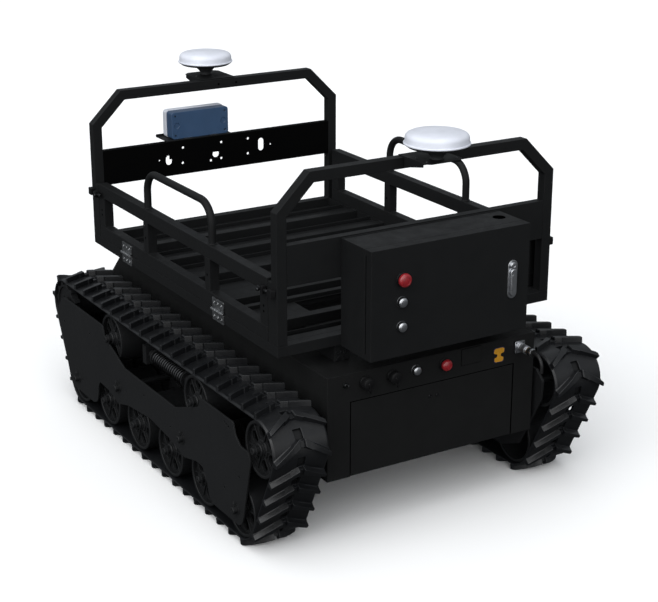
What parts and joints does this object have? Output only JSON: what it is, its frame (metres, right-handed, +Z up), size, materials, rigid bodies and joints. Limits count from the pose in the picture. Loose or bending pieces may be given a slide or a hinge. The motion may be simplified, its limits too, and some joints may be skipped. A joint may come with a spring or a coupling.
{
  "type": "tracked tank chassis",
  "caption": "Tracked ground robot chassis: hull between two rubber tracks, open cargo rack with folding side gates, control cabinet and two satellite antennas.",
  "frame": {"origin": "on the ground, under the middle of the overall length and width", "axes": "+Z up, +Y from the control-cabinet end (front) towards the back, +X to the side on the right when looking along +Y"},
  "size_m": [1.112, 1.5247, 1.0904],
  "materials": {
    "rack_paint": "satin dark grey powder coat, fine texture",
    "hull_paint": "satin near-black powder coat",
    "plate_paint": "matt dark grey powder coat",
    "wheel": "black anodised aluminium",
    "zinc_steel": "zinc-plated steel",
    "track_rubber": "moulded rubber, slightly worn",
    "chrome": "polished chrome",
    "stop_red": "gloss red plastic",
    "radome": "semi-gloss white plastic",
    "radio_blue": "matt blue plastic",
    "battery": "matt plastic",
    "cable": "matt black cable jacket"
  },
  "bodies": {
    "root": {"track_belt_left": "track_rubber", "track_side_plate_left": "plate_paint", "track_inner_frame_left": "plate_paint", "track_spring_left": "zinc_steel", "bogie_front_left": "plate_paint", "bogie_back_left": "plate_paint", "track_belt_right": "track_rubber", "track_side_plate_right": "plate_paint", "track_inner_frame_right": "plate_paint", "track_spring_right": "zinc_steel", "bogie_front_right": "plate_paint", "bogie_back_right": "plate_paint", "hull_shell": "hull_paint", "battery_pack": "battery", "drive_motor_left": "zinc_steel", "drive_motor_right": "zinc_steel", "data_cable": "cable", "cargo_frame": "rack_paint", "front_hoop": "rack_paint", "back_hoop": "rack_paint", "front_cross_plate": "rack_paint", "back_cross_plate": "rack_paint", "cabinet_box": "rack_paint", "front_antenna": "radome", "back_antenna": "radome", "radio_box": "radio_blue"},
    "drive_sprocket_left": {"drive_sprocket_left": "wheel"},
    "idler_wheel_left": {"idler_wheel_left": "wheel"},
    "end_wheel_front_left": {"end_wheel_front_left": "wheel"},
    "end_wheel_back_left": {"end_wheel_back_left": "wheel"},
    "road_wheel_1_left": {"road_wheel_1_left": "wheel"},
    "road_wheel_2_left": {"road_wheel_2_left": "wheel"},
    "road_wheel_3_left": {"road_wheel_3_left": "wheel"},
    "road_wheel_4_left": {"road_wheel_4_left": "wheel"},
    "return_roller_front_left": {"return_roller_front_left": "wheel"},
    "return_roller_back_left": {"return_roller_back_left": "wheel"},
    "drive_sprocket_right": {"drive_sprocket_right": "wheel"},
    "idler_wheel_right": {"idler_wheel_right": "wheel"},
    "end_wheel_front_right": {"end_wheel_front_right": "wheel"},
    "end_wheel_back_right": {"end_wheel_back_right": "wheel"},
    "road_wheel_1_right": {"road_wheel_1_right": "wheel"},
    "road_wheel_2_right": {"road_wheel_2_right": "wheel"},
    "road_wheel_3_right": {"road_wheel_3_right": "wheel"},
    "road_wheel_4_right": {"road_wheel_4_right": "wheel"},
    "return_roller_front_right": {"return_roller_front_right": "wheel"},
    "return_roller_back_right": {"return_roller_back_right": "wheel"},
    "side_gate_left": {"side_gate_left": "rack_paint"},
    "gate_latch_left_front": {"gate_latch_left_front": "zinc_steel"},
    "gate_latch_left_back": {"gate_latch_left_back": "zinc_steel"},
    "side_gate_right": {"side_gate_right": "rack_paint"},
    "gate_latch_right_front": {"gate_latch_right_front": "zinc_steel"},
    "gate_latch_right_back": {"gate_latch_right_back": "zinc_steel"},
    "cabinet_door": {"cabinet_door": "rack_paint"},
    "cabinet_lever": {"cabinet_lever": "chrome"},
    "cabinet_stop_button": {"cabinet_stop_button": "stop_red"},
    "cabinet_push_button_1": {"cabinet_push_button_1": "chrome"},
    "cabinet_push_button_2": {"cabinet_push_button_2": "chrome"},
    "hull_stop_button": {"hull_stop_button": "stop_red"},
    "hull_push_button": {"hull_push_button": "chrome"},
    "access_door": {"access_door": "hull_paint"}
  },
  "joints": [
    {"name": "drive_sprocket_left_spin", "type": "hinge", "parent": "root", "child": "drive_sprocket_left", "pos_m": [-0.45, 0.6545, 0.318], "axis": [1, 0, 0], "continuous": true},
    {"name": "idler_wheel_left_spin", "type": "hinge", "parent": "root", "child": "idler_wheel_left", "pos_m": [-0.45, -0.6415, 0.318], "axis": [1, 0, 0], "continuous": true},
    {"name": "end_wheel_front_left_spin", "type": "hinge", "parent": "root", "child": "end_wheel_front_left", "pos_m": [-0.45, -0.5335, 0.105], "axis": [1, 0, 0], "continuous": true},
    {"name": "end_wheel_back_left_spin", "type": "hinge", "parent": "root", "child": "end_wheel_back_left", "pos_m": [-0.45, 0.5465, 0.105], "axis": [1, 0, 0], "continuous": true},
    {"name": "road_wheel_1_left_spin", "type": "hinge", "parent": "root", "child": "road_wheel_1_left", "pos_m": [-0.45, -0.3195, 0.105], "axis": [1, 0, 0], "continuous": true},
    {"name": "road_wheel_2_left_spin", "type": "hinge", "parent": "root", "child": "road_wheel_2_left", "pos_m": [-0.45, -0.1025, 0.105], "axis": [1, 0, 0], "continuous": true},
    {"name": "road_wheel_3_left_spin", "type": "hinge", "parent": "root", "child": "road_wheel_3_left", "pos_m": [-0.45, 0.1155, 0.105], "axis": [1, 0, 0], "continuous": true},
    {"name": "road_wheel_4_left_spin", "type": "hinge", "parent": "root", "child": "road_wheel_4_left", "pos_m": [-0.45, 0.3325, 0.105], "axis": [1, 0, 0], "continuous": true},
    {"name": "return_roller_front_left_spin", "type": "hinge", "parent": "root", "child": "return_roller_front_left", "pos_m": [-0.45, -0.2785, 0.321], "axis": [1, 0, 0], "continuous": true},
    {"name": "return_roller_back_left_spin", "type": "hinge", "parent": "root", "child": "return_roller_back_left", "pos_m": [-0.45, 0.2915, 0.321], "axis": [1, 0, 0], "continuous": true},
    {"name": "drive_sprocket_right_spin", "type": "hinge", "parent": "root", "child": "drive_sprocket_right", "pos_m": [0.45, 0.6545, 0.318], "axis": [1, 0, 0], "continuous": true},
    {"name": "idler_wheel_right_spin", "type": "hinge", "parent": "root", "child": "idler_wheel_right", "pos_m": [0.45, -0.6415, 0.318], "axis": [1, 0, 0], "continuous": true},
    {"name": "end_wheel_front_right_spin", "type": "hinge", "parent": "root", "child": "end_wheel_front_right", "pos_m": [0.45, -0.5335, 0.105], "axis": [1, 0, 0], "continuous": true},
    {"name": "end_wheel_back_right_spin", "type": "hinge", "parent": "root", "child": "end_wheel_back_right", "pos_m": [0.45, 0.5465, 0.105], "axis": [1, 0, 0], "continuous": true},
    {"name": "road_wheel_1_right_spin", "type": "hinge", "parent": "root", "child": "road_wheel_1_right", "pos_m": [0.45, -0.3195, 0.105], "axis": [1, 0, 0], "continuous": true},
    {"name": "road_wheel_2_right_spin", "type": "hinge", "parent": "root", "child": "road_wheel_2_right", "pos_m": [0.45, -0.1025, 0.105], "axis": [1, 0, 0], "continuous": true},
    {"name": "road_wheel_3_right_spin", "type": "hinge", "parent": "root", "child": "road_wheel_3_right", "pos_m": [0.45, 0.1155, 0.105], "axis": [1, 0, 0], "continuous": true},
    {"name": "road_wheel_4_right_spin", "type": "hinge", "parent": "root", "child": "road_wheel_4_right", "pos_m": [0.45, 0.3325, 0.105], "axis": [1, 0, 0], "continuous": true},
    {"name": "return_roller_front_right_spin", "type": "hinge", "parent": "root", "child": "return_roller_front_right", "pos_m": [0.45, -0.2785, 0.321], "axis": [1, 0, 0], "continuous": true},
    {"name": "return_roller_back_right_spin", "type": "hinge", "parent": "root", "child": "return_roller_back_right", "pos_m": [0.45, 0.2915, 0.321], "axis": [1, 0, 0], "continuous": true},
    {"name": "side_gate_left_fold", "type": "hinge", "parent": "root", "child": "side_gate_left", "pos_m": [-0.446, 0.0065, 0.562], "axis": [0, -1, 0], "range_deg": [0, 140]},
    {"name": "gate_latch_left_front_slide", "type": "slide", "parent": "side_gate_left", "child": "gate_latch_left_front", "axis": [0, 1, 0], "range_m": [0, 0.018]},
    {"name": "gate_latch_left_back_slide", "type": "slide", "parent": "side_gate_left", "child": "gate_latch_left_back", "axis": [0, -1, 0], "range_m": [0, 0.018]},
    {"name": "side_gate_right_fold", "type": "hinge", "parent": "root", "child": "side_gate_right", "pos_m": [0.446, 0.0065, 0.562], "axis": [0, 1, 0], "range_deg": [0, 140]},
    {"name": "gate_latch_right_front_slide", "type": "slide", "parent": "side_gate_right", "child": "gate_latch_right_front", "axis": [0, 1, 0], "range_m": [0, 0.018]},
    {"name": "gate_latch_right_back_slide", "type": "slide", "parent": "side_gate_right", "child": "gate_latch_right_back", "axis": [0, -1, 0], "range_m": [0, 0.018]},
    {"name": "cabinet_door_swing", "type": "hinge", "parent": "root", "child": "cabinet_door", "pos_m": [-0.252, -0.6997, 0.6785], "axis": [0, 0, -1], "range_deg": [0, 110]},
    {"name": "cabinet_lever_lift", "type": "hinge", "parent": "cabinet_door", "child": "cabinet_lever", "pos_m": [0.195, -0.7349, 0.634], "axis": [1, 0, 0], "range_deg": [0, 35]},
    {"name": "cabinet_stop_press", "type": "slide", "parent": "cabinet_door", "child": "cabinet_stop_button", "axis": [0, 1, 0], "range_m": [0, 0.004]},
    {"name": "cabinet_push_1_press", "type": "slide", "parent": "cabinet_door", "child": "cabinet_push_button_1", "axis": [0, 1, 0], "range_m": [0, 0.0025], "stiffness_N_per_m": 400},
    {"name": "cabinet_push_2_press", "type": "slide", "parent": "cabinet_door", "child": "cabinet_push_button_2", "axis": [0, 1, 0], "range_m": [0, 0.0025], "stiffness_N_per_m": 400},
    {"name": "hull_stop_press", "type": "slide", "parent": "root", "child": "hull_stop_button", "axis": [0, 1, 0], "range_m": [0, 0.004]},
    {"name": "hull_push_press", "type": "slide", "parent": "root", "child": "hull_push_button", "axis": [0, 1, 0], "range_m": [0, 0.0025], "stiffness_N_per_m": 400},
    {"name": "access_door_swing", "type": "hinge", "parent": "root", "child": "access_door", "pos_m": [0, -0.663, 0.186], "axis": [1, 0, 0], "range_deg": [0, 90]}
  ],
  "couplings": [
    {"joint": "idler_wheel_left_spin", "follows": "drive_sprocket_left_spin", "ratio": 1},
    {"joint": "end_wheel_front_left_spin", "follows": "drive_sprocket_left_spin", "ratio": 0.9625},
    {"joint": "end_wheel_back_left_spin", "follows": "drive_sprocket_left_spin", "ratio": 0.9625},
    {"joint": "road_wheel_1_left_spin", "follows": "drive_sprocket_left_spin", "ratio": 0.9625},
    {"joint": "road_wheel_2_left_spin", "follows": "drive_sprocket_left_spin", "ratio": 0.9625},
    {"joint": "road_wheel_3_left_spin", "follows": "drive_sprocket_left_spin", "ratio": 0.9625},
    {"joint": "road_wheel_4_left_spin", "follows": "drive_sprocket_left_spin", "ratio": 0.9625},
    {"joint": "return_roller_front_left_spin", "follows": "drive_sprocket_left_spin", "ratio": 1.0405},
    {"joint": "return_roller_back_left_spin", "follows": "drive_sprocket_left_spin", "ratio": 1.0405},
    {"joint": "idler_wheel_right_spin", "follows": "drive_sprocket_right_spin", "ratio": 1},
    {"joint": "end_wheel_front_right_spin", "follows": "drive_sprocket_right_spin", "ratio": 0.9625},
    {"joint": "end_wheel_back_right_spin", "follows": "drive_sprocket_right_spin", "ratio": 0.9625},
    {"joint": "road_wheel_1_right_spin", "follows": "drive_sprocket_right_spin", "ratio": 0.9625},
    {"joint": "road_wheel_2_right_spin", "follows": "drive_sprocket_right_spin", "ratio": 0.9625},
    {"joint": "road_wheel_3_right_spin", "follows": "drive_sprocket_right_spin", "ratio": 0.9625},
    {"joint": "road_wheel_4_right_spin", "follows": "drive_sprocket_right_spin", "ratio": 0.9625},
    {"joint": "return_roller_front_right_spin", "follows": "drive_sprocket_right_spin", "ratio": 1.0405},
    {"joint": "return_roller_back_right_spin", "follows": "drive_sprocket_right_spin", "ratio": 1.0405}
  ]
}
